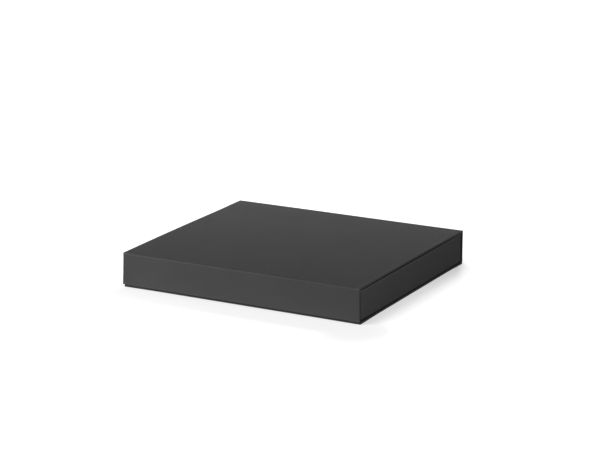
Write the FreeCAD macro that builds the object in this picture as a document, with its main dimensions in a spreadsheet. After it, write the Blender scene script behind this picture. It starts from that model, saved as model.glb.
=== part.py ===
import FreeCAD, Part
import Sketcher
import os
import re

# Sliding drawer gift box: a drawer of wrapped greyboard that slides in a wrapped sleeve, which is
# open at both ends.
#
# Millimetres, +Z up. The origin is the centre of the underside of the box. +X runs along the
# length to the right-hand mouth of the sleeve, -Y is the front and +Y the rear.
#
# The sleeve's cover is a top board and two side boards under one wrap. It stands on a base board
# with a wrap of its own. The drawer is a floor board, two long side boards and two end boards in
# one wrap that is turned over the rim and down the inside. Every paper is modelled as what is
# left of its layer once the boards and papers under it are taken away, so each lies face to face
# on what it is pasted to.

SIZES = (
    ("sleeve_length", 300.0, "sleeve along X, over its wrapped ends"),
    ("sleeve_depth", 250.0, "sleeve along Y, over its wrapped sides"),
    ("sleeve_height", 40.0, "sleeve along Z, underside to top"),
    ("sleeve_board", 2.0, "thickness of the sleeve's greyboard"),
    ("wrap_paper", 0.2, "thickness of the black wrapping paper"),
    ("lining_paper", 0.2, "thickness of the lining paper"),
    ("turn_in", 15.0, "width of wrap turned in over a board's inner face"),
    ("lining_margin", 3.0, "how far the sleeve's linings stop short of its mouths"),
    ("joint_strip", 0.1, "thickness of the gummed strips that join base and sides"),
    ("joint_leg", 10.0, "leg of the gummed strips that join base and sides"),
    ("base_set_back", 1.0, "base board's step back from the front and rear faces"),
    ("base_short", 1.5, "how much the base stops short of the left-hand mouth"),
    ("fold_radius", 0.5, "outside radius of a fold in the wrap"),
    ("drawer_board", 2.0, "thickness of the drawer's greyboard"),
    ("drawer_inset", 0.5, "drawer's end panels behind the sleeve's mouths"),
    ("side_gap", 0.8, "running gap at each long side of the drawer"),
    ("top_gap", 1.2, "gap between the drawer's rim and the sleeve's lining"),
    ("rest_gap", 0.3, "gap under the drawer, above the sleeve's base lining"),
    ("corner_stay", 0.1, "thickness of the drawer's gummed corner stays"),
    ("stay_leg", 18.0, "leg of the drawer's gummed corner stays"),
    ("floor_lining_gap", 0.4, "gap round the lining sheet on the drawer's floor"),
)

# A fold rounder than about 3.4 papers would bare the square edge of the board inside it.
PAPERS_IN_FOLD = 3
FOLD = f"min(fold_radius; {PAPERS_IN_FOLD} * wrap_paper)"

# Depths into the sleeve's walls, from the outside face: to the far face of the board, of the wrap
# turned in over it, of the joint strip on that, and of the lining over all.
BOARDED = "(wrap_paper + sleeve_board)"
TURNED = "(2 * wrap_paper + sleeve_board)"
TAPED = "(2 * wrap_paper + sleeve_board + joint_strip)"
LINED = "(2 * wrap_paper + sleeve_board + joint_strip + lining_paper)"

HALF_LENGTH = "(sleeve_length / 2)"
HALF_DEPTH = "(sleeve_depth / 2)"
BASE_LEFT = "(base_short - sleeve_length / 2)"
BASE_DEPTH = "(sleeve_depth - 2 * base_set_back)"
BASE_LENGTH = "(sleeve_length - base_short)"

# The drawer over its wrap, and depths into its walls from the outside face.
DRAWER_LENGTH = "(sleeve_length - 2 * drawer_inset)"
DRAWER_DEPTH = f"(sleeve_depth - 2 * {LINED} - 2 * side_gap)"
DRAWER_LOW = f"({LINED} + rest_gap)"
DRAWER_HEIGHT = f"(sleeve_height - 2 * {LINED} - rest_gap - top_gap)"
DRAWER_BOARDED = "(wrap_paper + drawer_board)"
DRAWER_TURNED = "(2 * wrap_paper + drawer_board + corner_stay)"
DRAWER_WALL_LOW = f"({DRAWER_LOW} + {DRAWER_BOARDED})"
DRAWER_WALL_HEIGHT = f"({DRAWER_HEIGHT} - {DRAWER_BOARDED} - wrap_paper)"

QUARTER_TURN = 90.0
HALF_TURN = 180.0

# How far from an edge the sides of a solid are felt for.
PROBE = 0.01

doc = FreeCAD.newDocument("SlidingDrawerGiftBox")
sheet = doc.addObject("Spreadsheet::Sheet", "Sizes")
parts = []


def fill_sheet():
    """Write each driving size into the sheet as a named cell."""
    for row, (name, value, note) in enumerate(SIZES, start=1):
        sheet.set(f"A{row}", name)
        sheet.set(f"B{row}", str(value))
        sheet.set(f"C{row}", note)
        sheet.setAlias(f"B{row}", name)
    doc.recompute()


def in_sheet(expression):
    """Point each size named in an expression at its cell in the sheet."""
    names = "|".join(name for name, _, _ in SIZES)
    return re.sub(rf"\b({names})\b", r"Sizes.\1", expression)


def bind(thing, prop, expression):
    """Bind a property of an object to an expression of named sizes."""
    thing.setExpression(prop, in_sheet(expression))


def value_of(expression):
    """The present value of an expression of named sizes."""
    return float(sheet.evalExpression(in_sheet(expression)))


def origin_plane(body, role):
    """One of a body's own origin planes."""
    return next(item for item in body.Origin.OriginFeatures if item.Role == role)


def new_body(name, corner, turn=0.0):
    """A body whose local origin stands at a corner, turned about +Z by a number of degrees."""
    body = doc.addObject("PartDesign::Body", name)
    body.Placement = FreeCAD.Placement(
        FreeCAD.Vector(*(value_of(place) for place in corner)),
        FreeCAD.Rotation(FreeCAD.Vector(0, 0, 1), turn),
    )
    for axis, place in zip("xyz", corner):
        bind(body, f"Placement.Base.{axis}", place)
    return body


def draw_outline(body, name, role, sides, shift=("0", "0", "0")):
    """
    Sketch a closed outline of level and upright sides on one of a body's origin planes.

    It starts at the sketch's origin and follows the sides, each a direction and a length. A level
    side and an upright side then close it. Shift moves the sketch in the plane and off it.
    """
    sketch = body.newObject("Sketcher::SketchObject", name)
    sketch.AttachmentSupport = [(origin_plane(body, role), "")]
    sketch.MapMode = "FlatFace"
    for axis, distance in zip("xyz", shift):
        bind(sketch, f"AttachmentOffset.Base.{axis}", distance)
    steps = {"right": (1, 0), "left": (-1, 0), "up": (0, 1), "down": (0, -1)}
    points = [FreeCAD.Vector(0, 0, 0)]
    for way, length in sides:
        across, up = steps[way]
        run = value_of(length)
        points.append(points[-1] + FreeCAD.Vector(across * run, up * run, 0))
    points.append(FreeCAD.Vector(0, points[-1].y, 0))
    count = len(points)
    for index, start in enumerate(points):
        sketch.addGeometry(Part.LineSegment(start, points[(index + 1) % count]), False)
    ways = [way for way, _ in sides] + ["left", "down"]
    for index, way in enumerate(ways):
        sketch.addConstraint(Sketcher.Constraint("Coincident", index, 2, (index + 1) % count, 1))
        kind = "Horizontal" if way in ("left", "right") else "Vertical"
        sketch.addConstraint(Sketcher.Constraint(kind, index))
    sketch.addConstraint(Sketcher.Constraint("Coincident", 0, 1, -1, 1))
    for index, (_, length) in enumerate(sides):
        added = sketch.addConstraint(Sketcher.Constraint("Distance", index, value_of(length)))
        sketch.renameConstraint(added, f"side_{index}")
        bind(sketch, f"Constraints.side_{index}", length)
    return sketch


def pad(body, sketch, length):
    """Pad a sketch along its normal."""
    feature = body.newObject("PartDesign::Pad", body.Name + "_pad")
    feature.Profile = sketch
    bind(feature, "Length", length)
    return feature


def plate(name, corner, length, depth, thickness):
    """A rectangular plate with its lowest corner at a place."""
    body = new_body(name, corner)
    outline = draw_outline(body, name + "_outline", "XY_Plane", [("right", length), ("up", depth)])
    pad(body, outline, thickness)
    return body


def channel(name, corner, length, depth, height, wall):
    """A channel along X, open below and at both ends, with a top and two sides of one thickness."""
    body = new_body(name, corner)
    inner_height = f"({height} - {wall})"
    sides = [
        ("right", wall),
        ("up", inner_height),
        ("right", f"({depth} - 2 * {wall})"),
        ("down", inner_height),
        ("right", wall),
        ("up", height),
    ]
    pad(body, draw_outline(body, name + "_outline", "YZ_Plane", sides), length)
    return body


def angle(name, corner, role, leg, thickness, length, turn=0.0):
    """A strip folded to a right angle, whose legs run along a plane's axes from its corner."""
    body = new_body(name, corner, turn)
    inner_leg = f"({leg} - {thickness})"
    sides = [("right", leg), ("up", thickness), ("left", inner_leg), ("up", inner_leg)]
    pad(body, draw_outline(body, name + "_outline", role, sides), length)
    return body


def fold_edges(body):
    """Round every outward edge of a body to the wrap's fold."""
    doc.recompute()
    before = body.Tip
    solid = before.Shape
    edges = enumerate(solid.Edges, start=1)
    outward = [f"Edge{index}" for index, edge in edges if is_outward(solid, edge)]
    fillet = body.newObject("PartDesign::Fillet", body.Name + "_folds")
    fillet.Base = (before, outward)
    bind(fillet, "Radius", FOLD)


def is_outward(solid, edge):
    """Whether two of a solid's faces meet at an edge as at the corner of a box, not as in a nook."""
    middle = edge.valueAt((edge.FirstParameter + edge.LastParameter) / 2)
    faces = [face for face in solid.Faces if any(side.isSame(edge) for side in face.Edges)]
    normals = [face.normalAt(*face.Surface.parameter(middle)) for face in faces]
    probe = middle - (normals[0] + normals[1]) * PROBE
    away = middle + (normals[0] - normals[1]) * PROBE
    return solid.isInside(probe, 0, False) and not solid.isInside(away, 0, False)


def cut_away(name, block, tools):
    """What is left of a block once the tools are taken out of it."""
    joined = doc.addObject("Part::MultiFuse", name + "_tools")
    joined.Shapes = tools
    cut = doc.addObject("Part::Cut", name)
    cut.Base = block
    cut.Tool = joined
    cut.Refine = True
    return cut


def keep(*things):
    """Count objects among the sub-parts, each under its own name."""
    for thing in things:
        thing.Label = thing.Name
        parts.append(thing)


def sleeve_base():
    """The base board, its wrap and its lining. Returns the wrap."""
    length = f"({BASE_LENGTH} - 2 * wrap_paper)"
    depth = f"({BASE_DEPTH} - 2 * wrap_paper)"
    corner = (f"({BASE_LEFT} + wrap_paper)", f"(-{depth} / 2)", "wrap_paper")
    board = plate("sleeve_base_board", corner, length, depth, "sleeve_board")

    corner = (BASE_LEFT, f"(-{BASE_DEPTH} / 2)", "0")
    block = plate("sleeve_base_wrap_block", corner, BASE_LENGTH, BASE_DEPTH, TURNED)
    fold_edges(block)
    bare_length = f"({BASE_LENGTH} - 2 * turn_in)"
    bare_depth = f"({BASE_DEPTH} - 2 * turn_in)"
    corner = (f"({BASE_LEFT} + turn_in)", f"(-{bare_depth} / 2)", BOARDED)
    bare = plate("sleeve_base_bare_middle", corner, bare_length, bare_depth, "wrap_paper")
    wrap = cut_away("sleeve_base_wrap", block, [board, bare])
    keep(board, wrap)
    return wrap


def sleeve_cover():
    """The top and side boards and the wrap over them. Returns the wrap."""
    length = "(sleeve_length - 2 * wrap_paper)"
    depth = "(sleeve_depth - 2 * wrap_paper)"
    left = f"(-{length} / 2)"
    front = f"(-{depth} / 2)"
    side_low = f"({TURNED} + wrap_paper)"
    side_height = f"(sleeve_height - {BOARDED} - {side_low})"
    top_low = f"(sleeve_height - {BOARDED})"
    rear = f"({HALF_DEPTH} - {BOARDED})"
    boards = [
        plate("sleeve_top_board", (left, front, top_low), length, depth, "sleeve_board"),
        plate("sleeve_front_board", (left, front, side_low), length, "sleeve_board", side_height),
        plate("sleeve_rear_board", (left, rear, side_low), length, "sleeve_board", side_height),
    ]

    corner = (f"(-{HALF_LENGTH})", f"(-{HALF_DEPTH})", TURNED)
    height = f"(sleeve_height - {TURNED})"
    block = channel("sleeve_cover_wrap_block", corner, "sleeve_length", "sleeve_depth", height, TURNED)
    fold_edges(block)
    bare_length = "(sleeve_length - 2 * turn_in)"
    bare_depth = f"(sleeve_depth - 2 * {BOARDED})"
    bare_low = f"({TURNED} + turn_in)"
    corner = (f"(-{bare_length} / 2)", f"(-{bare_depth} / 2)", bare_low)
    bare_height = f"({top_low} - {bare_low})"
    bare = plate("sleeve_cover_bare_middle", corner, bare_length, bare_depth, bare_height)
    wrap = cut_away("sleeve_cover_wrap", block, [*boards, bare])
    keep(*boards, wrap)
    return wrap


def sleeve_joint_strips():
    """The gummed angles along the inner corners where the sides stand on the base."""
    length = f"({BASE_LENGTH} - 2 * lining_margin)"
    side = f"({HALF_DEPTH} - {TURNED})"
    places = (
        ("front", f"({BASE_LEFT} + lining_margin)", f"(-{side})", 0.0),
        ("rear", f"({HALF_LENGTH} - lining_margin)", side, HALF_TURN),
    )
    strips = []
    for where, start, across, turn in places:
        name = f"sleeve_{where}_joint_strip"
        corner = (start, across, TURNED)
        strips.append(angle(name, corner, "YZ_Plane", "joint_leg", "joint_strip", length, turn))
    keep(*strips)
    return strips


def sleeve_linings(base_wrap, cover_wrap, strips):
    """The sheet that the drawer runs on and the sheet inside the top and sides."""
    layers = "(wrap_paper + joint_strip + lining_paper)"
    depth = f"(sleeve_depth - 2 * {TURNED})"
    corner = (f"({BASE_LEFT} + lining_margin)", f"(-{depth} / 2)", BOARDED)
    length = f"({BASE_LENGTH} - 2 * lining_margin)"
    block = plate("sleeve_base_lining_block", corner, length, depth, layers)
    base_lining = cut_away("sleeve_base_lining", block, [base_wrap, *strips])

    depth = f"(sleeve_depth - 2 * {BOARDED})"
    length = "(sleeve_length - 2 * lining_margin)"
    corner = (f"(-{length} / 2)", f"(-{depth} / 2)", LINED)
    height = f"(sleeve_height - {BOARDED} - {LINED})"
    block = channel("sleeve_cover_lining_block", corner, length, depth, height, layers)
    cover_lining = cut_away("sleeve_cover_lining", block, [cover_wrap, *strips])
    keep(base_lining, cover_lining)


def drawer_boards():
    """The floor board, the two long side boards on it and the end boards between those."""
    length = f"({DRAWER_LENGTH} - 2 * wrap_paper)"
    depth = f"({DRAWER_DEPTH} - 2 * wrap_paper)"
    left = f"(-{length} / 2)"
    front = f"(-{depth} / 2)"
    rear = f"({depth} / 2 - drawer_board)"
    right = f"({length} / 2 - drawer_board)"
    end_depth = f"({depth} - 2 * drawer_board)"
    end_front = f"(-{end_depth} / 2)"
    floor_low = f"({DRAWER_LOW} + wrap_paper)"
    boards = [plate("drawer_floor_board", (left, front, floor_low), length, depth, "drawer_board")]
    for where, across in (("front", front), ("rear", rear)):
        corner = (left, across, DRAWER_WALL_LOW)
        name = f"drawer_{where}_side_board"
        boards.append(plate(name, corner, length, "drawer_board", DRAWER_WALL_HEIGHT))
    for where, along in (("left", left), ("right", right)):
        corner = (along, end_front, DRAWER_WALL_LOW)
        name = f"drawer_{where}_end_board"
        boards.append(plate(name, corner, "drawer_board", end_depth, DRAWER_WALL_HEIGHT))
    keep(*boards)
    return boards


def drawer_corner_stays():
    """The gummed angles up the drawer's four inner corners."""
    along = f"({DRAWER_LENGTH} / 2 - {DRAWER_BOARDED})"
    across = f"({DRAWER_DEPTH} / 2 - {DRAWER_BOARDED})"
    places = (
        ("front_left", f"(-{along})", f"(-{across})"),
        ("front_right", along, f"(-{across})"),
        ("rear_right", along, across),
        ("rear_left", f"(-{along})", across),
    )
    stays = []
    for quarter, (where, x_place, y_place) in enumerate(places):
        name = f"drawer_{where}_corner_stay"
        corner = (x_place, y_place, DRAWER_WALL_LOW)
        turn = quarter * QUARTER_TURN
        stay = angle(name, corner, "XY_Plane", "stay_leg", "corner_stay", DRAWER_WALL_HEIGHT, turn)
        stays.append(stay)
    keep(*stays)
    return stays


def drawer_papers(boards, stays):
    """The wrap outside, over the rim and down the inside of the walls, and the floor's lining."""
    corner = (f"(-{DRAWER_LENGTH} / 2)", f"(-{DRAWER_DEPTH} / 2)", DRAWER_LOW)
    block = plate("drawer_wrap_block", corner, DRAWER_LENGTH, DRAWER_DEPTH, DRAWER_HEIGHT)
    inner_length = f"({DRAWER_LENGTH} - 2 * {DRAWER_TURNED})"
    inner_depth = f"({DRAWER_DEPTH} - 2 * {DRAWER_TURNED})"
    sides = [("right", inner_length), ("up", inner_depth)]
    shift = (DRAWER_TURNED, DRAWER_TURNED, DRAWER_HEIGHT)
    mouth = draw_outline(block, "drawer_mouth_outline", "XY_Plane", sides, shift)
    hollow = block.newObject("PartDesign::Pocket", "drawer_hollow")
    hollow.Profile = mouth
    bind(hollow, "Length", f"({DRAWER_HEIGHT} - {DRAWER_BOARDED})")
    fold_edges(block)
    wrap = cut_away("drawer_wrap", block, [*boards, *stays])

    length = f"({inner_length} - 2 * floor_lining_gap)"
    depth = f"({inner_depth} - 2 * floor_lining_gap)"
    corner = (f"(-{length} / 2)", f"(-{depth} / 2)", DRAWER_WALL_LOW)
    lining = plate("drawer_floor_lining", corner, length, depth, "lining_paper")
    keep(wrap, lining)


def check_and_write():
    """Stop at any failed object or bad shape, then write each sub-part to its own file."""
    doc.recompute()
    for thing in doc.Objects:
        if "Invalid" in thing.State or "Error" in thing.State:
            raise RuntimeError(f"{thing.Name} failed: {thing.State}")
    for thing in parts:
        if thing.Shape.isNull() or not thing.Shape.isValid():
            raise RuntimeError(f"{thing.Name} has no valid shape")
    os.makedirs("parts", exist_ok=True)
    for thing in parts:
        thing.Shape.exportStep(f"parts/{thing.Label}.step")
        box = thing.Shape.BoundBox
        volume = thing.Shape.Volume
        print(f"{thing.Label}: {box.XLength:.2f} x {box.YLength:.2f} x {box.ZLength:.2f}, {volume:.0f} mm3")


fill_sheet()
base_wrap = sleeve_base()
cover_wrap = sleeve_cover()
sleeve_linings(base_wrap, cover_wrap, sleeve_joint_strips())
drawer_papers(drawer_boards(), drawer_corner_stays())
check_and_write()
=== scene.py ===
import math

import bmesh
import bpy
from mathutils import Matrix, Vector


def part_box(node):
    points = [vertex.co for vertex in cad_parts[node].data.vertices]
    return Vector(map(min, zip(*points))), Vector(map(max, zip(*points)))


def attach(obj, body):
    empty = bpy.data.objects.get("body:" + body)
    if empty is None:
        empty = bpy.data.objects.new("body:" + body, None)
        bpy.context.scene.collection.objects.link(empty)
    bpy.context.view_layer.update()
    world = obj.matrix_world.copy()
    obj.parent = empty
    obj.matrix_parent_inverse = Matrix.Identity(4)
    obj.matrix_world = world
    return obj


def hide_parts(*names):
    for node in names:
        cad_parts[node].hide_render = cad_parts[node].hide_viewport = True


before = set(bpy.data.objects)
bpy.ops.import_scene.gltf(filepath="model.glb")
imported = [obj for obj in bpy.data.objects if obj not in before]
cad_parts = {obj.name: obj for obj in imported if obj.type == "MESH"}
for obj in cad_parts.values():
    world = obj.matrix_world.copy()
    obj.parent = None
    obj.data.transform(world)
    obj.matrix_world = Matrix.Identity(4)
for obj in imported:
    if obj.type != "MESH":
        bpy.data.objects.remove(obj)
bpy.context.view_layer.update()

# Lengths below are in millimetres, in the frame of the box: the origin is the centre of its
# underside, +X runs to the right-hand mouth and -Y to the front. Meshes are made at that size and
# brought to metres at the end.
METRES = 0.001
PAPER = 0.2

# The sleeve: its right end, rear and top, its walls, the cover's lower edge, the left end and the
# rear of the base, the width of wrap turned in, and the lining's right end, rear, top and lower
# edge.
SLEEVE = Vector((150.0, 125.0, 40.0))
SLEEVE_WALL = 2.4
COVER_LOW = 2.4
BASE_LEFT, BASE_DEEP = -148.5, 124.0
TURN_IN = 15.0
LINING = (147.0, 122.3, 37.3)
LINING_LOW = 2.72

# The drawer: its right end, rear and rim, its walls, its underside and the top of its floor board,
# and the right end, rear and top of the sheet on that.
DRAWER = Vector((149.5, 121.5, 36.1))
DRAWER_WALL = 2.5
DRAWER_LOW, DRAWER_FLOOR = 3.0, 5.2
FLOOR_SHEET = (146.6, 118.6, 5.4)

# Radii of the folds: along the cover's front top edge, where the board's edge is crushed round, in
# the wrap and in the board; at the mouths and the drawer's foot, where the paper is drawn tight;
# in the lining; at other edges of a board; and everywhere else.
LONG_FOLD, LONG_BOARD_EDGE = 1.0, 0.8
TIGHT_FOLD, LINING_FOLD, BOARD_EDGE, FOLD = 0.3, 0.5, 0.15, 0.65

# How the folds are made: the width that a bevel weight of 1 stands for, the faces round a fold,
# and the least angle of a folded and of a sharp edge.
WIDEST = 2.0
FOLD_FACES = 4
LEAST_FOLD = 0.1
SHARP = math.radians(40)

# The widest spacing of grid lines, on flat faces and up walls.
STEP, WALL_STEP = 12.0, 7.0

# Two places are taken for one within SAME, and a place for one on an edge within NEAR.
SAME, NEAR = 0.001, 0.01

# The cover's top bows up between its long edges: the lift at the front edge, the middle and the
# rear edge, and how much higher the rear edge stands towards the left. Down the walls the lift
# fades out between two heights. The rise at the rear starts and is full at two places along Y, and
# slopes along X over RISE_REACH to each side.
BOW_FRONT, BOW_MIDDLE, BOW_REAR, BOW_REAR_LEFT = -0.35, 0.40, -0.10, 0.65
BOW_LOW, BOW_HIGH = 28.0, 37.0
RISE_FROM, RISE_TO, RISE_REACH = 70.0, 122.0, 130.0

# Inside each mouth the roof comes down towards its corners: by how much at the rear and the front
# corner, between which heights the roof is found, and where the drop starts and is full, along X,
# and along Y at the rear and the front.
ROOF_DROP_LEFT, ROOF_DROP_RIGHT = (0.35, 0.25), (0.75, 0.05)
ROOF_LOW, ROOF_HIGH = 36.9, 38.3
DROP_FROM_X, DROP_TO_X = 134.0, 143.0
DROP_FROM_REAR, DROP_FROM_FRONT, DROP_TO_Y = 84.0, 96.0, 121.0

# The cover isn't cut quite square. The foot of its front wall runs out at the left end, and the
# head of its rear wall at the right end. That starts SQUARE_TO from the middle of the wall, and
# below FOOT_TOP or above HEAD_FOOT.
FOOT_OUT, HEAD_OUT = 2.1, 0.6
FOOT_TOP, HEAD_FOOT = 36.0, 10.0
SQUARE_TO = 110.0

# Nor is the base. Its left end runs out towards the front. Its right end stands out a little and
# runs in towards the rear, but its two corners there are drawn out. Both front corners are drawn
# forward too. Last come the places along X where all that starts and is full, and those along Y
# where the near and the far corners' part starts.
BASE_LEFT_OUT, BASE_RIGHT_OUT, BASE_RIGHT_IN = 1.1, 0.12, 0.9
NEAR_CORNER_OUT, FAR_CORNER_OUT = 0.85, 0.95
LEFT_CORNER_FORWARD, RIGHT_CORNER_FORWARD = 1.3, 0.6
BASE_END_FROM, BASE_END_TO = 100.0, 148.0
NEAR_CORNER_FROM, FAR_CORNER_FROM = 80.0, 90.0

# The camera, fitted to the box's corners: its place in metres, its azimuth, elevation and roll, and
# its lens and sensor in millimetres.
CAMERA_PLACE = Vector((1.10696, -1.88288, 0.66882))
CAMERA_AZIMUTH = math.radians(30.2986)
CAMERA_ELEVATION = math.radians(15.6031)
CAMERA_ROLL = math.radians(1.0539)
CAMERA_LENS = 120.276
SENSOR_WIDTH = 36.0


# Mesh building.

def lines(*marks, step=STEP):
    """Grid lines through all marks, and evenly between two marks where they are further apart."""
    marks = sorted(marks)
    found = [marks[0]]
    for low, high in zip(marks, marks[1:]):
        count = max(1, math.ceil((high - low) / step - SAME))
        found += [low + (high - low) * index / count for index in range(1, count + 1)]
    return found


def between(found, low, high):
    """The grid lines from one place to another, both included."""
    return [place for place in found if low - SAME < place < high + SAME]


def panel(bm, axis, level, us, vs, bare=None):
    """
    Add a grid of faces in the plane at a level of an axis.

    The lines run along the other two axes, in the order x, y, z. Bare is a patch without faces,
    as its low and high u and its low and high v.
    """
    place = {
        "x": lambda u, v: (level, u, v),
        "y": lambda u, v: (u, level, v),
        "z": lambda u, v: (u, v, level),
    }[axis]
    rows = [[bm.verts.new(place(u, v)) for v in vs] for u in us]
    for i, (u_low, u_high) in enumerate(zip(us, us[1:])):
        for j, (v_low, v_high) in enumerate(zip(vs, vs[1:])):
            u, v = (u_low + u_high) / 2, (v_low + v_high) / 2
            if bare and bare[0] < u < bare[1] and bare[2] < v < bare[3]:
                continue
            bm.faces.new((rows[i][j], rows[i + 1][j], rows[i + 1][j + 1], rows[i][j + 1]))


def join_panels(bm, furthest, looks):
    """Weld the panels and turn them so that the face furthest along an axis looks along another."""
    bmesh.ops.remove_doubles(bm, verts=bm.verts, dist=SAME)
    loose = [vertex for vertex in bm.verts if not vertex.link_faces]
    bmesh.ops.delete(bm, geom=loose, context="VERTS")
    bmesh.ops.recalc_face_normals(bm, faces=bm.faces)
    outer = max(bm.faces, key=lambda face: face.calc_center_median().dot(furthest))
    if outer.normal.dot(looks) < 0:
        bmesh.ops.reverse_faces(bm, faces=bm.faces)


def weigh_folds(bm, radius):
    """Give each folded edge the bevel weight for the radius at its middle."""
    layer = bm.edges.layers.float.new("bevel_weight_edge")
    for edge in bm.edges:
        if len(edge.link_faces) == 2 and edge.calc_face_angle() > LEAST_FOLD:
            middle = (edge.verts[0].co + edge.verts[1].co) / 2
            edge[layer] = radius(middle, edge.is_convex) / WIDEST


def settled(obj):
    """A new mesh of an object with its modifiers applied. The object is removed."""
    bpy.context.scene.collection.objects.link(obj)
    graph = bpy.context.evaluated_depsgraph_get()
    mesh = bpy.data.meshes.new_from_object(obj.evaluated_get(graph))
    before = obj.data
    bpy.data.objects.remove(obj)
    bpy.data.meshes.remove(before)
    return mesh


# How near a point is to the middle of a bend, and how far the normal of a point on a bend and of
# one in its middle is tilted from the axes at least.
FLAT, BESIDE, BENT, MIDDLE = 0.0, 0.3, 0.7, 1.0
BENT_TILT, MIDDLE_TILT = 0.05, 0.2


def usual_wear(co, normal, bend):
    """A bend is rubbed, and nothing else."""
    return bend if bend > BESIDE else 0


def mark_wear_and_painted_light(mesh, wear_and_painted_light):
    """
    Set the attribute fold, which the paper's wear, painted shade and painted highlights follow.

    A given function gives it for each point from its place, its normal and where it is on a bend.
    It runs from -1 in the darkest painted shade of creases, through 0 on plain paper, to 1 where
    the paper is rubbed and painted palest.
    """
    bends = []
    tilts = [1 - max(abs(side) for side in vertex.normal) for vertex in mesh.vertices]
    for tilt in tilts:
        bends.append(MIDDLE if tilt > MIDDLE_TILT else BENT if tilt > BENT_TILT else FLAT)
    for edge in mesh.edges:
        for bent, flat in (edge.vertices, tuple(edge.vertices)[::-1]):
            if tilts[bent] > BENT_TILT >= tilts[flat]:
                bends[flat] = BESIDE
    worn_and_painted = [wear_and_painted_light(vertex.co, vertex.normal, bend) for vertex, bend in zip(mesh.vertices, bends)]
    attribute = mesh.attributes.new("fold", "FLOAT", "POINT")
    attribute.data.foreach_set("value", worn_and_painted)


def fold(bm, name, thickness, folds, shift, wear_and_painted_light=usual_wear):
    """
    Make a piece of folded sheet from flat panels.

    Its edges are rounded, it is thickened behind its faces, and each point is moved by what shift
    gives for it. A given function says how rubbed each point is, and where shade and highlights are
    painted on it.
    """
    weigh_folds(bm, folds)
    mesh = bpy.data.meshes.new(name)
    bm.to_mesh(mesh)
    bm.free()
    obj = bpy.data.objects.new(name, mesh)
    bevel = obj.modifiers.new("folds", "BEVEL")
    bevel.limit_method = "WEIGHT"
    bevel.width = WIDEST
    bevel.segments = FOLD_FACES
    bevel.use_clamp_overlap = False
    if thickness:
        solid = obj.modifiers.new("paper", "SOLIDIFY")
        solid.thickness = thickness
        solid.offset = -1
        solid.use_even_offset = True
    mesh = settled(obj)

    mark_wear_and_painted_light(mesh, wear_and_painted_light)
    for vertex in mesh.vertices:
        vertex.co = (vertex.co + shift(vertex.co)) * METRES
    mesh.shade_smooth()
    mesh.set_sharp_from_angle(angle=SHARP)

    obj = bpy.data.objects.new(name, mesh)
    normals = obj.modifiers.new("normals", "WEIGHTED_NORMAL")
    normals.keep_sharp = True
    piece = bpy.data.objects.new(name, settled(obj))
    bpy.context.scene.collection.objects.link(piece)
    return piece


def held(value):
    """A value held between 0 and 1."""
    return min(1.0, max(0.0, value))


def ramp(value, low, high):
    """Smoothly from 0 at low to 1 at high."""
    t = held((value - low) / (high - low))
    return t * t * (3 - 2 * t)


# The sleeve.

def settle_cover(co):
    """
    How the cover departs from flat and square.

    The top bows up between its long edges. Inside each mouth, the wrap's folded corners lie under
    the lining, so the roof comes down a little towards the corners.
    """
    front = (1 - co.y / SLEEVE.y) / 2
    edge = BOW_FRONT if co.y < 0 else BOW_REAR
    lift = BOW_MIDDLE - (BOW_MIDDLE - edge) * (co.y / SLEEVE.y) ** 2
    rise = ramp(co.y, RISE_FROM, RISE_TO) * ramp(-co.x, -RISE_REACH, RISE_REACH)
    lift += BOW_REAR_LEFT * rise
    lift *= ramp(co.z, BOW_LOW, BOW_HIGH)
    foot = held((FOOT_TOP - co.z) / (FOOT_TOP - COVER_LOW))
    head = held((co.z - HEAD_FOOT) / (SLEEVE.z - HEAD_FOOT))
    out = HEAD_OUT * head * (1 - front) * ramp(co.x, SQUARE_TO, SLEEVE.x)
    out -= FOOT_OUT * foot * front * ramp(-co.x, SQUARE_TO, SLEEVE.x)
    if ROOF_LOW < co.z < ROOF_HIGH:
        rear_drop, front_drop = ROOF_DROP_RIGHT if co.x > 0 else ROOF_DROP_LEFT
        drop = rear_drop * ramp(co.y, DROP_FROM_REAR, DROP_TO_Y)
        drop += front_drop * ramp(-co.y, DROP_FROM_FRONT, DROP_TO_Y)
        lift -= drop * ramp(abs(co.x), DROP_FROM_X, DROP_TO_X)
    return Vector((out, 0, lift))


# How rubbed the cover is: its top by the mouths, its upper long edges and how much more at their
# ends, and its lower edges and how much more at theirs. On the top by the mouths and the upper
# edges this paleness is partly a painted highlight. In a crease it is darker: painted shade.
TOP_RUB_AND_HIGHLIGHT = 0.4
UPPER_RUB_AND_HIGHLIGHT, UPPER_END_RUB_AND_HIGHLIGHT = 0.25, 0.6
LOWER_RUB, LOWER_END_RUB = 0.3, 0.7
CREASE_PAINTED_SHADE = -1

# How far from a mouth or a long edge the rub is full, how far from a mouth the top's ends, and how
# far the edges'.
RUB_FULL, TOP_RUB_TO, EDGE_RUB_TO = 2.0, 6.0, 8.0


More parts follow.
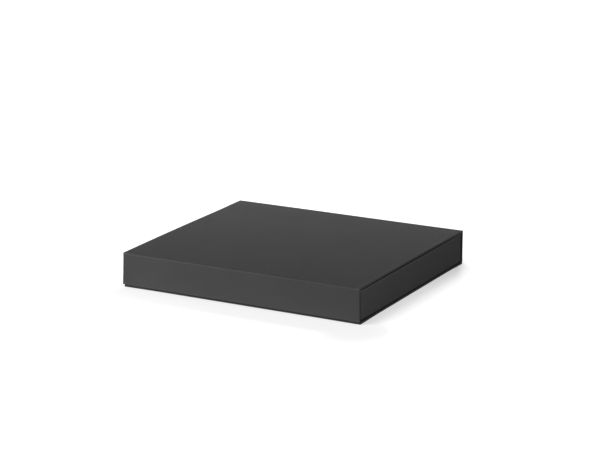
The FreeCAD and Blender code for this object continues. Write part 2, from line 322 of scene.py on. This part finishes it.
def make_cover_wrap():
    """The paper over the cover: outside, round the mouths and lower edges, and turned in."""
    x, y, z = SLEEVE
    in_y, in_z = y - SLEEVE_WALL, z - SLEEVE_WALL
    in_x, in_low = x - TURN_IN, COVER_LOW + TURN_IN
    rub_places = (in_x, x - TOP_RUB_TO, x - RUB_FULL, x)
    xs = lines(*(side * place for place in rub_places for side in (-1, 1)))
    ys = lines(-y, -in_y, in_y, y)
    zs = lines(COVER_LOW, COVER_LOW + RUB_FULL, in_low, in_z, z - RUB_FULL, z, step=WALL_STEP)
    inner_ys = between(ys, -in_y, in_y)
    inner_zs = between(zs, COVER_LOW, in_z)
    bm = bmesh.new()
    panel(bm, "z", z, xs, ys)
    panel(bm, "z", in_z, xs, inner_ys, bare=(-in_x, in_x, -in_y, in_y))
    panel(bm, "z", COVER_LOW, xs, between(ys, -y, -in_y))
    panel(bm, "z", COVER_LOW, xs, between(ys, in_y, y))
    for side in (-1, 1):
        panel(bm, "y", side * y, xs, zs)
        panel(bm, "y", side * in_y, xs, inner_zs, bare=(-in_x, in_x, in_low, in_z))
        panel(bm, "x", side * x, ys, zs, bare=(-in_y, in_y, COVER_LOW, in_z))
    join_panels(bm, Vector((1, 0, 0)), Vector((1, 0, 0)))

    def folds(middle, convex):
        if not convex:
            return 0
        if abs(middle.x) > x - NEAR:
            return TIGHT_FOLD
        front_top = middle.y < NEAR - y and middle.z > z - NEAR
        return LONG_FOLD if front_top else FOLD

    def wear_and_painted_light(co, normal, bend):
        """
        The top near the mouths and the mouths' upper edges are paler, as wear and a painted
        highlight.
        The long edges are rubbed too, the most at their ends, with a painted highlight on the upper
        ones.
        The mouths' inner edges are creases with painted shade.
        """
        if co.z > z - 0.1 and normal.z > 0.9:
            return TOP_RUB_AND_HIGHLIGHT * ramp(abs(co.x), x - TOP_RUB_TO, x - RUB_FULL)
        if abs(co.x) > x - 1:
            # The mouths' inner edges get painted shade.
            inner_edge = abs(co.y) < in_y + 0.5 and co.z < in_z + 0.5
            if inner_edge:
                return CREASE_PAINTED_SHADE if bend else 0
            # Upward-looking mouth edges are paler: wear and a painted highlight.
            return bend if bend > BESIDE and normal.z > 0.3 else 0
        at_end = ramp(abs(co.x), x - EDGE_RUB_TO, x - RUB_FULL)
        upper_edge, lower_edge = co.z > z - 1.5, co.z < COVER_LOW + 1
        # Strongest where the fold looks forward or back: a painted highlight placed by the normal.
        if bend and upper_edge:
            return (UPPER_RUB_AND_HIGHLIGHT + UPPER_END_RUB_AND_HIGHLIGHT * at_end) * ramp(abs(normal.y), 0.3, 1)
        return LOWER_RUB + LOWER_END_RUB * at_end if bend and lower_edge else 0

    piece = fold(bm, "cover_wrap", PAPER, folds, settle_cover, wear_and_painted_light)
    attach(piece, "sleeve")
    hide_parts("sleeve_cover_wrap")
    return piece


def make_board(name, node, body, folds, shift, xs=()):
    """A bare board in place of a CAD one, with lines across it at xs, moved by shift."""
    low, high = (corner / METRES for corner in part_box(node))
    xs = lines(low.x, *xs, high.x)
    ys, zs = lines(low.y, high.y), lines(low.z, high.z)
    bm = bmesh.new()
    for end in (low, high):
        panel(bm, "x", end.x, ys, zs)
        panel(bm, "y", end.y, xs, zs)
        panel(bm, "z", end.z, xs, ys)
    join_panels(bm, Vector((1, 0, 0)), Vector((1, 0, 0)))
    piece = fold(bm, name, 0, folds, shift)
    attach(piece, body)
    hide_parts(node)
    return piece


def make_top_board():
    """The cover's top board, bowed with its wrap, its front upper edge crushed round."""

    def folds(middle, convex):
        front, top = PAPER - SLEEVE.y, SLEEVE.z - PAPER
        front_top = middle.y < front + NEAR and middle.z > top - NEAR
        return LONG_BOARD_EDGE if front_top else BOARD_EDGE

    return make_board("cover_top_board", "sleeve_top_board", "sleeve", folds, settle_cover)


def make_cover_lining():
    """The sheet inside the cover's top and sides."""
    x, y, z = LINING
    xs, ys, zs = lines(-x, x), lines(-y, y), lines(LINING_LOW, z, step=WALL_STEP)
    bm = bmesh.new()
    panel(bm, "z", z, xs, ys)
    for side in (-1, 1):
        panel(bm, "y", side * y, xs, zs)
    join_panels(bm, Vector((0, 0, 1)), Vector((0, 0, -1)))
    piece = fold(bm, "cover_lining", PAPER, lambda middle, convex: LINING_FOLD, settle_cover)
    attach(piece, "sleeve")
    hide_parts("sleeve_cover_lining")
    return piece


def settle_base(co):
    """How the base departs from square."""
    front = (1 - co.y / BASE_DEEP) / 2
    left, right = (ramp(side * co.x, BASE_END_FROM, BASE_END_TO) for side in (-1, 1))
    near = ramp(-co.y, NEAR_CORNER_FROM, BASE_DEEP)
    far = ramp(co.y, FAR_CORNER_FROM, BASE_DEEP)
    right_out = BASE_RIGHT_OUT - BASE_RIGHT_IN * (1 - front)
    right_out += NEAR_CORNER_OUT * near + FAR_CORNER_OUT * far
    forward = near * (LEFT_CORNER_FORWARD * left + RIGHT_CORNER_FORWARD * right)
    return Vector((right_out * right - BASE_LEFT_OUT * front * left, -forward, 0))


# Between which heights the painted shade sets in on the base's ends and on its long sides.
END_SHADE, SIDE_SHADE = (1.4, 2.2), (0.1, 1.0)


def make_base_wrap():
    """
    The paper under the base board, round its four edges and turned in on top.

    It is painted darker, as shade, under the cover's lower edges, and at the ends just below the
    drawer.
    """
    left, right, deep = BASE_LEFT, SLEEVE.x, BASE_DEEP
    xs = lines(left, left + TURN_IN, right - TURN_IN, right)
    ys = lines(-deep, TURN_IN - deep, deep - TURN_IN, deep)
    zs = lines(0, COVER_LOW / 2, COVER_LOW)
    bare = (left + TURN_IN, right - TURN_IN, TURN_IN - deep, deep - TURN_IN)
    bm = bmesh.new()
    panel(bm, "z", 0, xs, ys)
    panel(bm, "z", COVER_LOW, xs, ys, bare=bare)
    for end in (left, right):
        panel(bm, "x", end, ys, zs)
    for side in (-1, 1):
        panel(bm, "y", side * deep, xs, zs)
    join_panels(bm, Vector((1, 0, 0)), Vector((1, 0, 0)))

    def wear_and_painted_light(co, normal, bend):
        heights = END_SHADE if abs(normal.x) > 0.5 else SIDE_SHADE
        # Painted shade, growing towards the top of each upright face.
        return -ramp(co.z, *heights) * (1 - abs(normal.z))

    piece = fold(bm, "base_wrap", PAPER, lambda middle, convex: TIGHT_FOLD, settle_base, wear_and_painted_light)
    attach(piece, "sleeve")
    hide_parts("sleeve_base_wrap")
    return piece


def make_base_board():
    """The board in the base, as far from square as its wrap."""
    return make_board(
        "base_board", "sleeve_base_board", "sleeve", lambda middle, convex: BOARD_EDGE,
        settle_base,
    )


# The drawer.

# At each end, the tabs of the sides' paper are lapped round the corner and pasted under the end's
# flap. The flap is cut short of the corner, and turned in it is cut shorter still. Its edge is
# STEEP wide, and the tab's edge shows through it over TAB_SLOPE to either side. The flap's step
# fades out down at the foot, between FLAP_LOW and FLAP_HIGH.
FLAP_EDGE, FLAP_EDGE_INSIDE, FLAP_STEP = 120.1, 117.4, 0.14
TAB_EDGE, TAB_STEP = 105.0, 0.07
STEEP, TAB_SLOPE = 0.15, 1.5
FLAP_LOW, FLAP_HIGH = DRAWER_LOW + 0.8, DRAWER_LOW + 2.5

# Points further out along X than these are on the end walls' outer and inner faces, and points
# higher than RIM_LOW on those walls are on the rim.
OUTER_FACE, INNER_FACE = 148.2, 146.4
RIM_LOW = DRAWER.z - 0.7

# The rim isn't quite level: it is this much higher at the rear, and lower at the front. Down the
# walls that fades out towards TILT_LOW.
RIM_TILT, TILT_LOW = 0.16, 10.0

# The floor board is pressed thinner at its ends, so the drawer's foot lifts there: how far along X
# it is flat, by how much it lifts at the end, and up to which height the whole of that shows.
FLOOR_FLAT, FOOT_UP, FOOT_TO = 141.0, 0.8, 3.3

# How rubbed the drawer is, as wear and painted highlight: the outer edges of its end walls' rim,
# and the paper beside the bends of the rim elsewhere. Its upright corners get painted shade on
# one side.
END_RIM_RUB_AND_HIGHLIGHT, BESIDE_RUB_AND_HIGHLIGHT = 0.7, 0.25
CORNER_SHADE = -0.8


def settle_drawer(co):
    """How the drawer's wrap steps over its laps, and how its rim and foot run out of level."""
    move = Vector((0, 0, 0))
    side = 1 if co.x > 0 else -1
    flap = 1 - ramp(abs(co.y), FLAP_EDGE - STEEP, FLAP_EDGE)
    if abs(co.x) > OUTER_FACE:
        tab = ramp(abs(co.y), TAB_EDGE - TAB_SLOPE, TAB_EDGE + TAB_SLOPE)
        up = ramp(co.z, FLAP_LOW, FLAP_HIGH)
        move.x = side * flap * up * (FLAP_STEP + TAB_STEP * tab)
    elif abs(co.x) > INNER_FACE and co.z > DRAWER_FLOOR - 0.1:
        flap_inside = 1 - ramp(abs(co.y), FLAP_EDGE_INSIDE - STEEP, FLAP_EDGE_INSIDE)
        move.x = -side * FLAP_STEP * flap_inside
    if abs(co.x) > INNER_FACE and co.z > RIM_LOW:
        move.z += FLAP_STEP * flap
    move.z += RIM_TILT * co.y / DRAWER.y * ramp(co.z, TILT_LOW, DRAWER.z)
    at_foot = 1 - ramp(co.z, FOOT_TO, DRAWER_FLOOR)
    move.z += FOOT_UP * ramp(abs(co.x), FLOOR_FLAT, DRAWER.x) * at_foot
    return move


def make_drawer_wrap():
    """The paper round the drawer: its underside, walls and rim, and down the inside."""
    x, y, z = DRAWER
    in_x, in_y = x - DRAWER_WALL, y - DRAWER_WALL
    flap_lines = (FLAP_EDGE, FLAP_EDGE - STEEP, FLAP_EDGE_INSIDE, FLAP_EDGE_INSIDE - STEEP)
    tab_lines = (TAB_EDGE + TAB_SLOPE, TAB_EDGE, TAB_EDGE - TAB_SLOPE)
    steps = [side * place for place in flap_lines + tab_lines for side in (-1, 1)]
    xs = lines(-x, -in_x, -FLOOR_FLAT, FLOOR_FLAT, in_x, x)
    ys = lines(-y, -in_y, in_y, y, *steps)
    zs = lines(DRAWER_LOW, FLAP_LOW, DRAWER_FLOOR, z - 2, z, step=WALL_STEP)
    inner_xs, inner_ys = between(xs, -in_x, in_x), between(ys, -in_y, in_y)
    inner_zs = between(zs, DRAWER_FLOOR, z)
    bm = bmesh.new()
    panel(bm, "z", DRAWER_LOW, xs, ys)
    panel(bm, "z", z, xs, ys, bare=(-in_x, in_x, -in_y, in_y))
    for side in (-1, 1):
        panel(bm, "x", side * x, ys, zs)
        panel(bm, "x", side * in_x, inner_ys, inner_zs)
        panel(bm, "y", side * y, xs, zs)
        panel(bm, "y", side * in_y, inner_xs, inner_zs)
    join_panels(bm, Vector((1, 0, 0)), Vector((1, 0, 0)))

    def folds(middle, convex):
        if not convex:
            return TIGHT_FOLD
        foot = abs(middle.x) > x - NEAR and middle.z < DRAWER_LOW + NEAR
        return TIGHT_FOLD if foot else FOLD

    def wear_and_painted_light(co, normal, bend):
        """
        The upright corners get painted shade on the side that looks along X. The rim is rubbed and
        given a painted highlight, most along the outer edges of the end walls.
        """
        end, upright = abs(co.x) > x - 1, abs(normal.z) < 0.3
        # Painted shade on the corners' side that looks along X.
        if end and upright and abs(co.y) > y - 1:
            return CORNER_SHADE if abs(normal.x) > 0.2 else 0
        if end and co.z > z - 1.5:
            # Placed by the normal, low on the rim's outer fold: wear and a painted highlight.
            return END_RIM_RUB_AND_HIGHLIGHT * ramp(abs(normal.x), 0.4, 1) if bend else 0
        if bend > BESIDE:
            return bend
        return BESIDE_RUB_AND_HIGHLIGHT if bend and co.z > DRAWER_FLOOR + 1 else 0

    piece = fold(bm, "drawer_paper", PAPER, folds, settle_drawer, wear_and_painted_light)
    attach(piece, "drawer")
    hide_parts("drawer_wrap")
    return piece


def make_floor_board():
    """The board under the drawer, its ends pressed thinner from below."""
    xs = (-FLOOR_FLAT, FLOOR_FLAT)
    return make_board(
        "drawer_base_board", "drawer_floor_board", "drawer", lambda middle, convex: BOARD_EDGE,
        settle_drawer, xs,
    )


# The edges of the sheet on the drawer's floor lift in waves: by how much at most, the mean and the
# swing of the waves as shares of that, how far in from the edge the lift has fallen to a third,
# and the lengths and the start of the waves.
SHEET_LIFT, WAVE_MEAN, WAVE_SWING = 0.35, 0.6, 0.4
LIFT_WIDTH = 2.2
WAVE_X, WAVE_Y, WAVE_START = 23, 17, 1.1


def make_floor_lining():
    """The loose-edged sheet pasted on the drawer's floor."""
    x, y, high = FLOOR_SHEET
    margins = (0, 0.5, 2.0, 5.0, 9.0)
    xs = lines(*(side * (x - margin) for margin in margins for side in (-1, 1)))
    ys = lines(*(side * (y - margin) for margin in margins for side in (-1, 1)))
    zs = lines(DRAWER_FLOOR, high)
    bm = bmesh.new()
    for side in (-1, 1):
        panel(bm, "x", side * x, ys, zs)
        panel(bm, "y", side * y, xs, zs)
    panel(bm, "z", DRAWER_FLOOR, xs, ys)
    panel(bm, "z", high, xs, ys)
    join_panels(bm, Vector((1, 0, 0)), Vector((1, 0, 0)))

    def lift_edges(co):
        margin = min(x - abs(co.x), y - abs(co.y))
        swing = WAVE_SWING * math.sin(co.x / WAVE_X + WAVE_START) * math.cos(co.y / WAVE_Y)
        lift = SHEET_LIFT * (WAVE_MEAN + swing) * math.exp(-margin / LIFT_WIDTH)
        return Vector((0, 0, lift))

    piece = fold(bm, "drawer_floor_sheet", 0, lambda middle, convex: 0, lift_edges)
    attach(piece, "drawer")
    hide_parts("drawer_floor_lining")
    return piece


# Materials.

class Shader:
    """A material and short ways to add nodes to it."""

    # A mix node has sockets of one name for each kind of data. These are the places of the
    # colours' own.
    COLOUR_A, COLOUR_B, COLOUR_OUT = 6, 7, 2

    def __init__(self, name):
        self.material = bpy.data.materials.new(name)
        self.material.use_nodes = True
        self.tree = self.material.node_tree
        self.bsdf = self.tree.nodes["Principled BSDF"]
        self.place = self.add("ShaderNodeTexCoord").outputs["Object"]

    def add(self, kind, **inputs):
        """A node of a kind with inputs set by value, or linked where they are sockets."""
        node = self.tree.nodes.new(kind)
        for name, value in inputs.items():
            self.put(node.inputs[name.replace("_", " ")], value)
        return node

    def put(self, socket, value):
        """Link a socket to another, or set its value."""
        if isinstance(value, bpy.types.NodeSocket):
            self.tree.links.new(value, socket)
        else:
            socket.default_value = value

    def noise(self, scale, detail=2.0, stretch=None, roughness=0.5):
        """Noise from 0 to 1, about 0.5. Scale is in cells per metre."""
        place = self.place
        if stretch:
            mapping = self.add("ShaderNodeMapping", Vector=place, Scale=stretch)
            place = mapping.outputs[0]
        node = self.add(
            "ShaderNodeTexNoise", Vector=place, Scale=scale, Detail=detail, Roughness=roughness
        )
        return node.outputs["Fac"]

    def fit(self, value, low, high, to_low, to_high):
        """A value carried from one range to another, and held at its ends."""
        node = self.add("ShaderNodeMapRange", Value=value)
        node.inputs["From Min"].default_value = low
        node.inputs["From Max"].default_value = high
        node.inputs["To Min"].default_value = to_low
        node.inputs["To Max"].default_value = to_high
        return node.outputs["Result"]

    def maths(self, operation, a, b):
        """An operation on two numbers."""
        node = self.add("ShaderNodeMath")
        node.operation = operation
        self.put(node.inputs[0], a)
        self.put(node.inputs[1], b)
        return node.outputs[0]

    def vector(self, operation, a, b=None, out="Vector"):
        """An operation on one or two vectors."""
        node = self.add("ShaderNodeVectorMath")
        node.operation = operation
        self.put(node.inputs[0], a)
        if b is not None:
            self.put(node.inputs[1], b)
        return node.outputs[out]

    def mix(self, factor, a, b):
        """One colour towards another."""
        node = self.add("ShaderNodeMix")
        node.data_type = "RGBA"
        self.put(node.inputs["Factor"], factor)
        self.put(node.inputs[self.COLOUR_A], a)
        self.put(node.inputs[self.COLOUR_B], b)
        return node.outputs[self.COLOUR_OUT]

    def bump(self, height, depth, normal=None):
        """The normal over a height from 0 to 1, which stands for a depth in metres."""
        node = self.add("ShaderNodeBump", Height=height, Distance=depth)
        if normal:
            self.put(node.inputs["Normal"], normal)
        return node.outputs[0]


def grey(value):
    """The colour of an even grey."""
    return (value, value, value, 1)


def paper(name, tone, rough, tooth, worn_and_painted):
    """
    Black paper of a tone, a roughness and a depth of tooth in metres.

    Its tone clouds over some centimetres and varies from fibre to fibre, with a few pale fibres.
    Its surface has the tooth of fine paper. Where the attribute fold is above 0, for wear and for
    painted highlights, it is rougher, and up to the given factor as pale. Where that is below 0 it
    is
    darker: painted shade.
    """
    s = Shader(name)
    cloud = s.noise(22, detail=3)
    fibre = s.noise(900, detail=4, stretch=(1, 2.6, 1.6), roughness=0.65)
    pulp = s.noise(2600, detail=2)
    body = s.mix(s.fit(cloud, 0.3, 0.7, 0, 1), grey(tone * 0.93), grey(tone * 1.07))
    body = s.mix(s.fit(fibre, 0.35, 0.7, 0, 0.55), body, grey(tone * 1.25))
    pale = s.fit(s.noise(1500, detail=1, stretch=(1, 7, 3)), 0.73, 0.8, 0, 0.6)
    body = s.mix(pale, body, grey(tone * 2.0))

    bent = s.add("ShaderNodeAttribute")
    bent.attribute_name = "fold"
    # Below 0, fold darkens the paper towards 0.3 of its tone: painted shade in creases, corners and
    # under edges.
    body = s.mix(s.fit(bent.outputs["Fac"], 0, -1, 0, 1), body, grey(tone * 0.3))
    patchy = s.fit(s.noise(160, detail=4), 0.3, 0.65, 0.35, 1)
    # Above 0, fold makes the paper paler in patches: wear, and painted highlights along folds.
    rub_and_highlight = s.maths("MULTIPLY", s.fit(bent.outputs["Fac"], 0, 1, 0, 1), patchy)
    s.put(s.bsdf.inputs["Base Color"], s.mix(rub_and_highlight, body, grey(tone * worn_and_painted)))

    roughness = s.fit(fibre, 0.3, 0.7, rough - 0.06, rough + 0.06)
    roughness = s.maths("ADD", roughness, s.maths("MULTIPLY", rub_and_highlight, 0.06))
    s.put(s.bsdf.inputs["Roughness"], roughness)
    s.put(s.bsdf.inputs["Specular IOR Level"], 0.4)
    coarse = s.bump(fibre, tooth)
    s.put(s.bsdf.inputs["Normal"], s.bump(pulp, tooth * 0.4, coarse))
    return s.material


def greyboard():
    """Recycled board: grey-brown pulp with dark and pale flecks, in faint layers at its edges."""
    s = Shader("greyboard")
    body = s.mix(s.noise(60, detail=3), (0.27, 0.25, 0.22, 1), (0.36, 0.33, 0.29, 1))
    layers = s.noise(700, detail=2, stretch=(0.05, 0.05, 3))
    body = s.mix(s.fit(layers, 0.4, 0.65, 0, 0.35), body, (0.22, 0.2, 0.18, 1))
    flecks = s.noise(1100, detail=2, stretch=(1, 2, 2))
    body = s.mix(s.fit(flecks, 0.66, 0.72, 0, 0.7), body, (0.1, 0.1, 0.11, 1))
    body = s.mix(s.fit(flecks, 0.34, 0.28, 0, 0.6), body, (0.55, 0.52, 0.46, 1))
    s.put(s.bsdf.inputs["Base Color"], body)
    s.put(s.bsdf.inputs["Roughness"], s.fit(flecks, 0.3, 0.7, 0.85, 0.95))
    s.put(s.bsdf.inputs["Normal"], s.bump(s.noise(1600, detail=3), 0.00006))
    return s.material


def gummed_kraft():
    """Brown gummed tape: long fibres, and a slightly glossy glue line here and there."""
    s = Shader("gummed_kraft")
    fibre = s.noise(420, detail=4, stretch=(6, 6, 1))
    body = s.mix(s.fit(fibre, 0.3, 0.7, 0, 1), (0.3, 0.2, 0.11, 1), (0.46, 0.33, 0.2, 1))
    s.put(s.bsdf.inputs["Base Color"], body)
    s.put(s.bsdf.inputs["Roughness"], s.fit(s.noise(90), 0.35, 0.65, 0.45, 0.7))
    s.put(s.bsdf.inputs["Normal"], s.bump(fibre, 0.00003))
    return s.material


def dress(pieces):
    """Give every piece and every carried-over node the material of its slot."""
    materials = {
        "wrap_paper": paper(
            "black_wrap_paper", tone=0.040, rough=0.63, tooth=0.000035, worn_and_painted=2.4
        ),
        "lining_paper": paper(
            "black_lining_paper", tone=0.032, rough=0.55, tooth=0.00002, worn_and_painted=1.5
        ),
        "greyboard": greyboard(),
        "gummed_strip": gummed_kraft(),
    }
    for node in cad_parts.values():
        for slot in node.material_slots:
            slot.material = materials[slot.material.name.split(".")[0]]
    for piece, slot in pieces:
        piece.data.materials.clear()
        piece.data.materials.append(materials[slot])


# Stage, light and camera.

# Lengths in this part are in metres.

# The floor's reach to each side, and its level, a hair under the box so that the two don't fight.
FLOOR_REACH, FLOOR_LEVEL = 20.0, -0.00005

# The shadow painted into the floor's glow is the box's footprint, drawn out by 30 mm in front and
# short of it by 17 mm behind: its half sizes, and how far forward it lies. To the right of the box
# it is slanted forward, by SLANT at SLANT_TO. It runs on round a place off the near corner.
SHADOW_X, SHADOW_Y, SHADOW_FORWARD = 0.15, 0.1315, 0.0235
SLANT, SLANT_TO = 0.2, 0.25
NEAR_CORNER = (0.155, -0.147, 0)

# The half sizes of what touches the floor, of what dims it close by, and of the patch of floor
# under the box, all a little within the footprint.
CONTACT_X, CONTACT_Y = 0.147, 0.124
DIM_X, DIM_Y = 0.142, 0.124
UNDER_X, UNDER_Y = 0.148, 0.1235

# How strongly the floor glows, where 1 is white: in the shadow and at its edge, in it off the near
# corner, and under the box. Next, how much of it is lost close by at the left and in the shadow
# towards the rear, and how much the strips that light the walls give.
GLOW_SHADOW, GLOW_EDGE, GLOW_CORNER, GLOW_UNDER = 0.5, 0.87, 0.6, 0.7
DIM_LEFT, DEEPER_REAR, GLOW_THROWN = 0.13, 0.065, 0.5


def area_light(name, place, target, size, power):
    """A softbox at a place, facing a target, with its width, height and power in watts."""
    data = bpy.data.lights.new(name, "AREA")
    data.shape = "RECTANGLE"
    data.size, data.size_y = size
    data.energy = power
    lamp = bpy.data.objects.new(name, data)
    lamp.location = place
    lamp.rotation_euler = (Vector(target) - Vector(place)).to_track_quat("-Z", "Y").to_euler()
    lamp.visible_camera = False
    bpy.context.scene.collection.objects.link(lamp)


def floor_distance(s, half_x, half_y, forward=0.0, stretch=1.0, place=None):
    """
    The distance on the floor from a rectangle of these half sizes round the origin.

    The rectangle is moved forward, and the x part of the distance is stretched, which gives its
    ends an abrupt edge.
    """
    place = s.vector("ADD", place or s.place, Vector((0, forward, 0)))
    beyond = s.vector("SUBTRACT", s.vector("ABSOLUTE", place), Vector((half_x, half_y, 1)))
    beyond = s.vector("MAXIMUM", beyond, Vector((0, 0, 0)))
    beyond = s.vector("MULTIPLY", beyond, Vector((stretch, 1, 1)))
    return s.vector("LENGTH", beyond, out="Value")


def floor_glow(s):
    """How strongly the floor glows, for the camera and for other rays."""
    across, along = s.add("ShaderNodeSeparateXYZ", Vector=s.place).outputs[:2]

    # The glow grows with the distance from the shadow.
    slant = s.fit(across, SHADOW_X, SLANT_TO, 0, SLANT)
    slanted = s.vector("ADD", s.place, s.add("ShaderNodeCombineXYZ", Y=slant).outputs[0])
    shadow = floor_distance(s, SHADOW_X, SHADOW_Y, forward=SHADOW_FORWARD, place=slanted)
    near = s.fit(shadow, 0.005, 0.03, GLOW_SHADOW, GLOW_EDGE)
    glow = s.maths("ADD", near, s.fit(shadow, 0.03, 0.6, 0, 1 - GLOW_EDGE))

    # The shadow is a little deeper towards the rear.
    beside = s.fit(shadow, 0.008, 0.022, 1, 0)
    deeper = s.maths("MULTIPLY", beside, s.fit(along, 0.01, 0.1, 0, DEEPER_REAR))
    glow = s.maths("SUBTRACT", glow, deeper)

    # It runs on round the near corner.
    corner = s.vector("DISTANCE", s.place, Vector(NEAR_CORNER), out="Value")
    near = s.fit(corner, 0.018, 0.048, GLOW_SHADOW, GLOW_CORNER)
    near = s.maths("ADD", near, s.fit(corner, 0.034, 0.07, 0, 1 - GLOW_CORNER))
    glow = s.maths("MINIMUM", glow, near)

    # The glow is weaker close in front of the box and behind it, the more so at the left, and
    # wherever the open drawer is close: a painted contact shadow.
    nearby = floor_distance(s, CONTACT_X, CONTACT_Y, stretch=100)
    contact = s.fit(nearby, 0, 0.0015, 0, 1)
    dim = s.fit(floor_distance(s, DIM_X, DIM_Y, stretch=3), 0.006, 0.036, DIM_LEFT, 0)
    dim = s.maths("MULTIPLY", dim, s.fit(across, -0.15, 0.1, 1, 0))
    glow = s.maths("MULTIPLY", glow, s.maths("SUBTRACT", contact, dim))
    open_sky = s.add("ShaderNodeAmbientOcclusion", Distance=0.06)
    open_sky.samples = 6
    glow = s.maths("MINIMUM", glow, s.fit(open_sky.outputs["AO"], 0.5, 0.9, 0.5, 1))

    # Only the camera sees all that. Other rays find a glowing strip along the front and the rear
    # wall that throws a little painted light back at them.
    seen = s.add("ShaderNodeLightPath").outputs["Is Camera Ray"]
    thrown = s.fit(nearby, 0.002, 0.007, 0, 1)
    thrown = s.maths("MULTIPLY", thrown, s.fit(nearby, 0.007, 0.031, GLOW_THROWN, 0))
    thrown = s.maths("MULTIPLY", thrown, s.maths("SUBTRACT", 1.0, seen))
    glow = s.maths("ADD", s.maths("MULTIPLY", glow, seen), thrown)

    # Right under the box, the floor lights the underside.
    under_box = s.fit(floor_distance(s, UNDER_X, UNDER_Y), 0, 1e-5, GLOW_UNDER, 0)
    return s.maths("MAXIMUM", glow, under_box)


def white_floor():
    """The floor's material: white, with a glow of its own, and clear from below."""
    s = Shader("white_floor")
    s.put(s.bsdf.inputs["Base Color"], grey(0.8))
    s.put(s.bsdf.inputs["Roughness"], 1.0)
    s.put(s.bsdf.inputs["Specular IOR Level"], 0.0)
    s.put(s.bsdf.inputs["Emission Color"], grey(1))
    s.put(s.bsdf.inputs["Emission Strength"], floor_glow(s))
    s.material.cycles.emission_sampling = "NONE"

    below = s.add("ShaderNodeNewGeometry").outputs["Backfacing"]
    clear = s.add("ShaderNodeBsdfTransparent").outputs[0]
    cut = s.tree.nodes.new("ShaderNodeMixShader")
    for socket, value in zip(cut.inputs, (below, s.bsdf.outputs[0], clear)):
        s.put(socket, value)
    s.put(s.tree.nodes["Material Output"].inputs["Surface"], cut.outputs[0])
    return s.material


def make_stage():
    """A wide white floor."""
    near, far = -FLOOR_REACH, FLOOR_REACH
    corners = [(near, near), (far, near), (far, far), (near, far)]
    mesh = bpy.data.meshes.new("floor")
    mesh.from_pydata([(x, y, FLOOR_LEVEL) for x, y in corners], [], [(0, 1, 2, 3)])
    mesh.materials.append(white_floor())
    floor = bpy.data.objects.new("floor", mesh)
    bpy.context.scene.collection.objects.link(floor)


def make_room():
    """A dim white room, which the camera alone sees as plain white."""
    world = bpy.data.worlds.new("studio")
    bpy.context.scene.world = world
    world.use_nodes = True
    tree = world.node_tree
    room = tree.nodes["Background"]
    room.inputs["Color"].default_value = grey(1)
    room.inputs["Strength"].default_value = 0.14
    white = tree.nodes.new("ShaderNodeBackground")
    white.inputs["Color"].default_value = grey(1)
    white.inputs["Strength"].default_value = 1.0
    seen = tree.nodes.new("ShaderNodeLightPath").outputs["Is Camera Ray"]
    mix = tree.nodes.new("ShaderNodeMixShader")
    for socket, output in zip(mix.inputs, (seen, room.outputs[0], white.outputs[0])):
        tree.links.new(output, socket)
    tree.links.new(mix.outputs[0], tree.nodes["World Output"].inputs["Surface"])


def make_light():
    """The room, a softbox to the left and one to the right, and a low strip behind."""
    make_room()
    area_light(
        "softbox_left", place=(-0.6, -0.7, 0.4), target=(0, 0, 0), size=(0.5, 0.5), power=6.6
    )
    area_light(
        "softbox_right", place=(0.75, -0.45, 0.25), target=(0.15, 0, 0.02), size=(0.5, 0.3),
        power=2.35,
    )
    area_light(
        "strip_rear", place=(-0.27, 0.45, 0.12), target=(-0.1, 0, 0.04), size=(1.0, 0.15),
        power=0.83,
    )
    bpy.context.scene.view_settings.view_transform = "Standard"


def make_camera():
    """The scene's camera, from its place, the direction it looks in, its roll and its lens."""
    forward = Vector((
        -math.sin(CAMERA_AZIMUTH) * math.cos(CAMERA_ELEVATION),
        math.cos(CAMERA_AZIMUTH) * math.cos(CAMERA_ELEVATION),
        -math.sin(CAMERA_ELEVATION),
    ))
    level = Vector((math.cos(CAMERA_AZIMUTH), math.sin(CAMERA_AZIMUTH), 0))
    down = forward.cross(level)
    right = level * math.cos(CAMERA_ROLL) + down * math.sin(CAMERA_ROLL)
    up = right.cross(forward)
    turn = Matrix((right, up, -forward)).transposed().to_4x4()
    data = bpy.data.cameras.new("camera")
    data.lens = CAMERA_LENS
    data.sensor_width = SENSOR_WIDTH
    camera = bpy.data.objects.new("camera", data)
    camera.matrix_world = Matrix.Translation(CAMERA_PLACE) @ turn
    bpy.context.scene.collection.objects.link(camera)
    bpy.context.scene.camera = camera


make_camera()
make_light()
make_stage()
dress([
    (make_cover_wrap(), "wrap_paper"),
    (make_top_board(), "greyboard"),
    (make_cover_lining(), "lining_paper"),
    (make_base_wrap(), "wrap_paper"),
    (make_base_board(), "greyboard"),
    (make_drawer_wrap(), "wrap_paper"),
    (make_floor_board(), "greyboard"),
    (make_floor_lining(), "lining_paper"),
])
